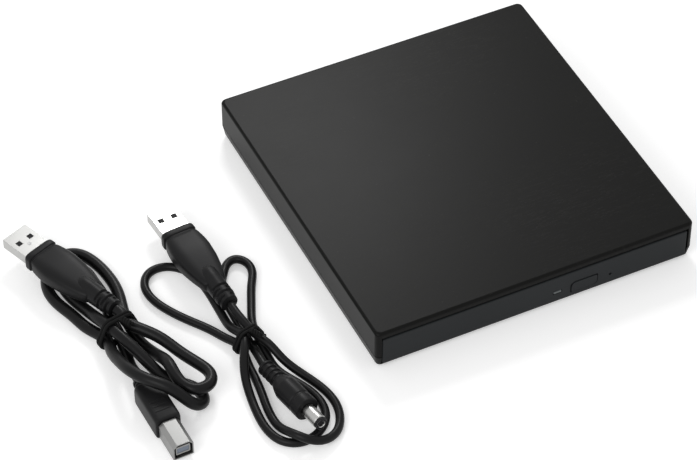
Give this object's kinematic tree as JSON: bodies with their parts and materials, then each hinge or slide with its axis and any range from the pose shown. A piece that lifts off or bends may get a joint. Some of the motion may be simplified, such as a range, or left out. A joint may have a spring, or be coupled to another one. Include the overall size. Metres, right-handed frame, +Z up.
{
  "type": "external dvd drive",
  "caption": "Slim portable optical disc drive in a flat matte case with a sliding disc tray and tied data and power leads.",
  "frame": {"origin": "centre of the case's footprint, on the surface that the feet stand on", "axes": "+Z up, +Y from the tray front to the back with the sockets, +X to the right seen from the tray front"},
  "size_m": [0.2477, 0.1744, 0.0192],
  "materials": {
    "matte_black_shell": "fine matte texture",
    "bezel_black": "smooth satin",
    "zinc_sheet": "plated sheet",
    "bright_steel": "bright plated steel",
    "tray_black": "satin moulded",
    "rubber_black": "soft matt",
    "board_green": "solder mask",
    "chip_black": "moulded package",
    "lamp_clear": "clear light guide",
    "lens_blue": "coated lens",
    "brass": "turned",
    "ivory_plastic": "moulded",
    "ribbon_film": "flat film",
    "cord_black": "smooth jacket"
  },
  "bodies": {
    "root": {"barrel_plug_grip": "rubber_black", "barrel_plug_tip": "bright_steel", "bottom_cover": "matte_black_shell", "bridge_board": "board_green", "bridge_chip": "chip_black", "case_screw_left": "bright_steel", "case_screw_right": "bright_steel", "catch_pin": "bright_steel", "chassis_lid": "zinc_sheet", "chassis_pan": "zinc_sheet", "crystal_can": "bright_steel", "data_cord": "cord_black", "data_plug_grip": "rubber_black", "data_plug_shell": "bright_steel", "data_tie": "rubber_black", "drive_connector": "chip_black", "foot_back_left": "rubber_black", "foot_back_right": "rubber_black", "foot_front_left": "rubber_black", "foot_front_right": "rubber_black", "power_cord": "cord_black", "power_jack": "tray_black", "power_jack_pin": "bright_steel", "power_plug_grip": "rubber_black", "power_plug_shell": "bright_steel", "power_tie": "rubber_black", "rail_guide_left": "tray_black", "rail_guide_right": "tray_black", "ribbon_cable": "ribbon_film", "square_plug_grip": "rubber_black", "square_plug_shell": "bright_steel", "top_cover": "matte_black_shell", "usb_socket": "zinc_sheet", "usb_socket_tongue": "ivory_plastic"},
    "rails": {"slide_rail_left": "bright_steel", "slide_rail_right": "bright_steel"},
    "tray": {"disc_tray": "tray_black", "tray_bezel": "bezel_black", "access_lamp": "lamp_clear", "eject_switch": "chip_black", "tray_board": "board_green", "servo_chip": "chip_black", "latch_solenoid": "brass", "mechanism_plate": "zinc_sheet", "damper_1": "rubber_black", "damper_2": "rubber_black", "damper_3": "rubber_black", "mechanism_cover": "zinc_sheet", "spindle_motor": "bright_steel", "guide_rod_near": "bright_steel", "guide_rod_far": "bright_steel", "sled_motor": "bright_steel"},
    "button": {"eject_button": "bezel_black"},
    "latch": {"latch_hook": "bright_steel"},
    "spindle": {"turntable": "tray_black", "disc_clamp": "ivory_plastic"},
    "sled": {"pickup_sled": "zinc_sheet"},
    "lens": {"lens_holder": "tray_black", "objective_lens": "lens_blue"},
    "screw": {"lead_screw": "bright_steel"}
  },
  "joints": [
    {"name": "tray_slide", "type": "slide", "parent": "root", "child": "tray", "axis": [0, -1, 0], "range_m": [0, 0.13]},
    {"name": "rail_slide", "type": "slide", "parent": "root", "child": "rails", "axis": [0, -1, 0], "range_m": [0, 0.065]},
    {"name": "eject_press", "type": "slide", "parent": "tray", "child": "button", "axis": [0, 1, 0], "range_m": [0, 0.0006], "stiffness_N_per_m": 600},
    {"name": "latch_swing", "type": "hinge", "parent": "tray", "child": "latch", "pos_m": [-0.0469, -0.0479, 0.0049], "axis": [0, 0, -1], "range_deg": [0, 14], "stiffness_Nm_per_rad": 0.02},
    {"name": "spindle_turn", "type": "hinge", "parent": "tray", "child": "spindle", "pos_m": [0, -0.0055, 0.01], "axis": [0, 0, 1], "continuous": true},
    {"name": "sled_travel", "type": "slide", "parent": "tray", "child": "sled", "axis": [0.7071, -0.7071, 0], "range_m": [0, 0.032]},
    {"name": "lens_focus", "type": "slide", "parent": "sled", "child": "lens", "axis": [0, 0, 1], "range_m": [-0.0003, 0.0004], "stiffness_N_per_m": 120},
    {"name": "screw_turn", "type": "hinge", "parent": "tray", "child": "screw", "pos_m": [-0.01344, -0.01894, 0.0064], "axis": [0.7071, -0.7071, 0], "range_deg": [0, 3841]}
  ],
  "couplings": [
    {"joint": "rail_slide", "follows": "tray_slide", "ratio": 0.5},
    {"joint": "screw_turn", "follows": "sled_travel", "rad_per_m": 2094.4}
  ]
}
